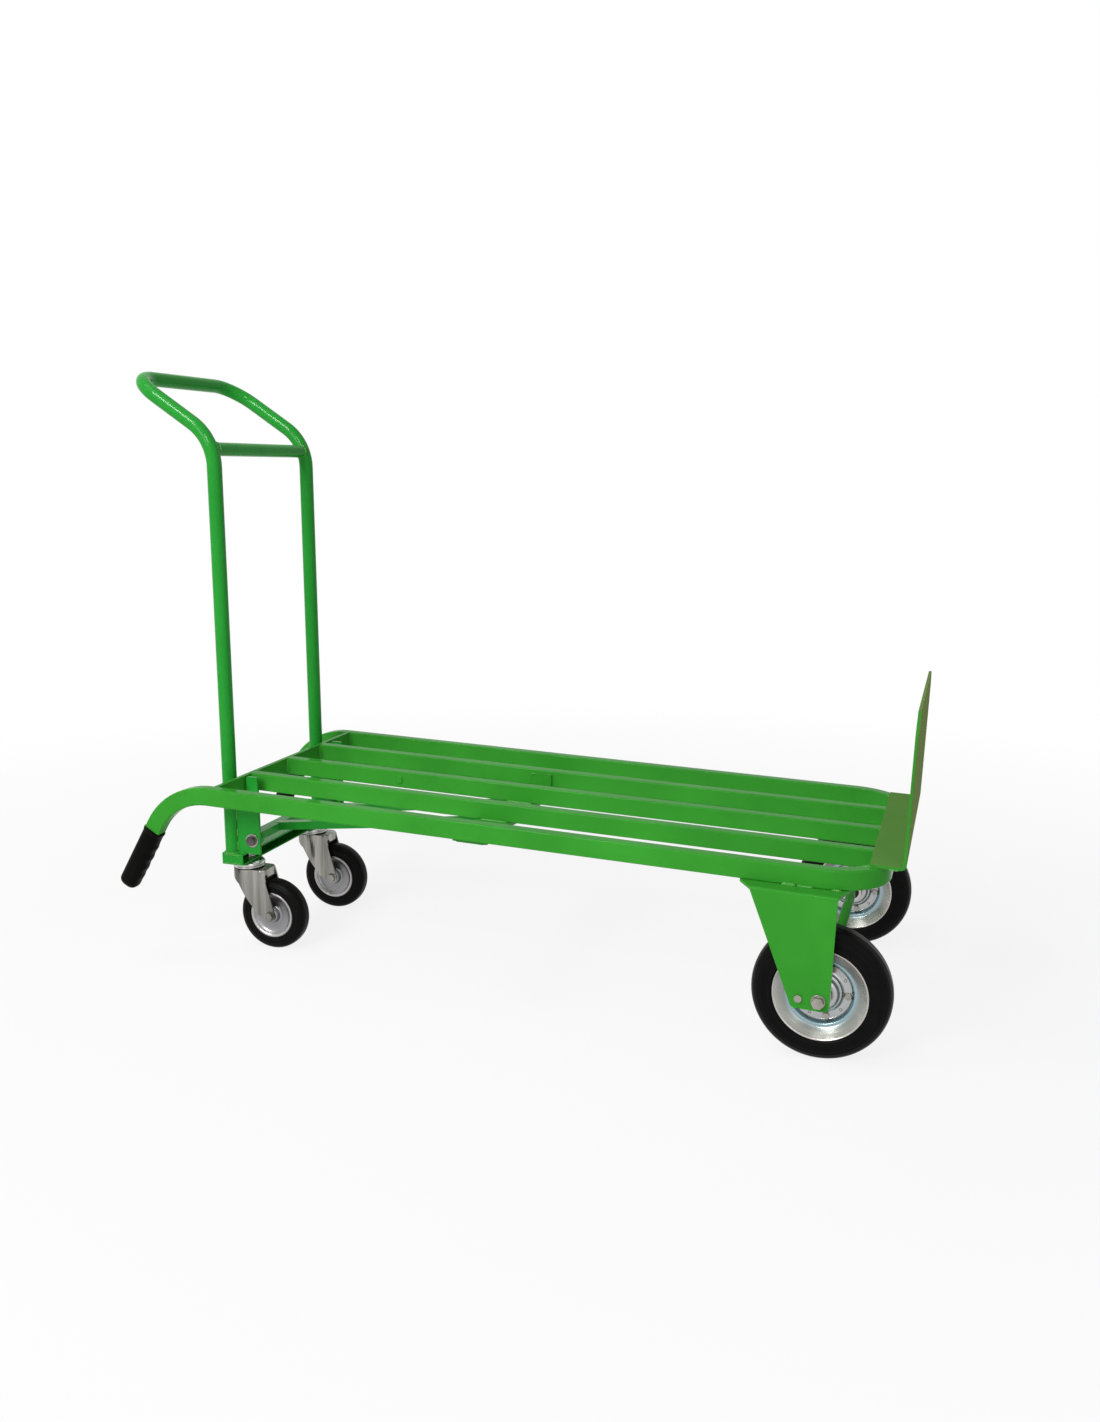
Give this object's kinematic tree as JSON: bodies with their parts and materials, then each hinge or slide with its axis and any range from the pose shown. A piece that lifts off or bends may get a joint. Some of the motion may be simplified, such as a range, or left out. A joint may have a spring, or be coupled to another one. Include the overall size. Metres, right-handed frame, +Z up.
{
  "type": "convertible trolley",
  "caption": "Low slatted platform trolley with an upright toe plate, side handles, a tall bent push handle on swivel casters and fixed road wheels.",
  "frame": {"origin": "on the floor, under the middle of the whole trolley", "axes": "+X towards the toe plate, +Y towards the far side, +Z up"},
  "size_m": [1.2984, 0.583, 0.9941],
  "materials": {
    "green_paint": "glossy powder coat",
    "zinc_plate": "bright zinc plating",
    "tyre_rubber": "matt black rubber",
    "grip_rubber": "satin black rubber",
    "green_plug": "glossy",
    "black_plastic": "satin"
  },
  "bodies": {
    "deck": {"side_rail_near": "green_paint", "side_rail_far": "green_paint", "side_grip_near": "grip_rubber", "side_grip_far": "grip_rubber", "slat_near": "green_paint", "slat_middle": "green_paint", "slat_far": "green_paint", "slat_gusset_near": "green_paint", "slat_gusset_far": "green_paint", "slat_plug": "green_plug", "toe_tube": "green_paint", "toe_plate": "green_paint", "end_cross_bar": "green_paint", "mid_cross_member": "green_paint", "hinge_lugs": "green_paint", "hinge_pins": "zinc_plate", "wheel_bracket_near": "green_paint", "wheel_bracket_far": "green_paint", "axle_bar": "green_paint", "axle_nuts": "zinc_plate", "axle_washers": "zinc_plate", "bracket_rivets": "zinc_plate"},
    "push_unit": {"push_handle": "green_paint", "neck_bar": "green_paint", "caster_beam": "green_paint", "stay_frame": "green_paint", "stay_bolts": "zinc_plate", "stay_washers": "zinc_plate", "stud_nuts": "zinc_plate", "ear_plate_near": "green_paint", "ear_plate_far": "green_paint", "caster_head_near": "zinc_plate", "caster_head_far": "zinc_plate", "caster_stud_near": "zinc_plate", "caster_stud_far": "zinc_plate"},
    "road_wheel_near": {"wheel_tyre_near": "tyre_rubber", "rim_outer_near": "zinc_plate", "rim_inner_near": "zinc_plate", "wheel_hub_near": "zinc_plate", "hub_bush_near": "black_plastic", "rim_bolts_near": "zinc_plate"},
    "caster_swivel_near": {"caster_fork_near": "zinc_plate", "caster_axle_near": "zinc_plate"},
    "caster_wheel_near": {"caster_tyre_near": "tyre_rubber", "caster_rim_near": "zinc_plate"},
    "road_wheel_far": {"wheel_tyre_far": "tyre_rubber", "rim_outer_far": "zinc_plate", "rim_inner_far": "zinc_plate", "wheel_hub_far": "zinc_plate", "hub_bush_far": "black_plastic", "rim_bolts_far": "zinc_plate"},
    "caster_swivel_far": {"caster_fork_far": "zinc_plate", "caster_axle_far": "zinc_plate"},
    "caster_wheel_far": {"caster_tyre_far": "tyre_rubber", "caster_rim_far": "zinc_plate"}
  },
  "joints": [
    {"name": "push_unit_hinge", "type": "hinge", "parent": "deck", "child": "push_unit", "pos_m": [-0.00785, 0, 0.25474], "axis": [0, -1, 0], "range_deg": [0, 90]},
    {"name": "road_wheel_spin_near", "type": "hinge", "parent": "deck", "child": "road_wheel_near", "pos_m": [0.53508, -0.238, 0.1], "axis": [0, 1, 0], "continuous": true},
    {"name": "caster_swivel_turn_near", "type": "hinge", "parent": "push_unit", "child": "caster_swivel_near", "pos_m": [-0.47692, -0.113, 0.144], "axis": [0, 0, 1], "continuous": true},
    {"name": "caster_wheel_spin_near", "type": "hinge", "parent": "caster_swivel_near", "child": "caster_wheel_near", "pos_m": [-0.42792, -0.113, 0.0625], "axis": [0, 1, 0], "continuous": true},
    {"name": "road_wheel_spin_far", "type": "hinge", "parent": "deck", "child": "road_wheel_far", "pos_m": [0.53508, 0.238, 0.1], "axis": [0, 1, 0], "continuous": true},
    {"name": "caster_swivel_turn_far", "type": "hinge", "parent": "push_unit", "child": "caster_swivel_far", "pos_m": [-0.47692, 0.113, 0.144], "axis": [0, 0, 1], "continuous": true},
    {"name": "caster_wheel_spin_far", "type": "hinge", "parent": "caster_swivel_far", "child": "caster_wheel_far", "pos_m": [-0.42792, 0.113, 0.0625], "axis": [0, 1, 0], "continuous": true}
  ]
}
